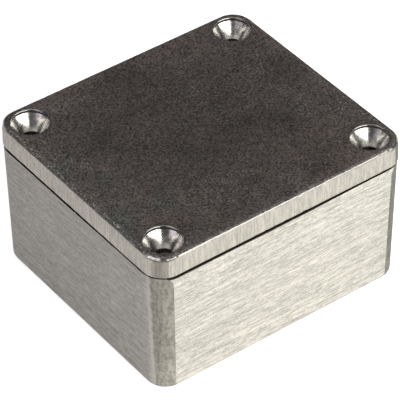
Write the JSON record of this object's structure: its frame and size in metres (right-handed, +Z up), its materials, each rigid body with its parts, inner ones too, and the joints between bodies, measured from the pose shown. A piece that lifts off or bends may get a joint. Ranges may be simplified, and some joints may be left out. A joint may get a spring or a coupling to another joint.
{
  "type": "die cast aluminium box",
  "caption": "Rectangular die cast enclosure, a deep base under a thick flat lid, with a countersunk screw hole in each corner and a seal inside the joint.",
  "frame": {"origin": "centre of the underside", "axes": "+X along the long side, +Y along the short side, +Z up through the lid"},
  "size_m": [0.064, 0.058, 0.036],
  "materials": {
    "base_casting": "bare, linished with fine brush lines along the joint",
    "lid_casting": "as-cast mottled top, upright brush lines on the edge, bright machined countersinks",
    "seal_rubber": "matt black"
  },
  "bodies": {
    "root": {"base": "base_casting", "lid": "lid_casting", "gasket": "seal_rubber"}
  },
  "joints": []
}
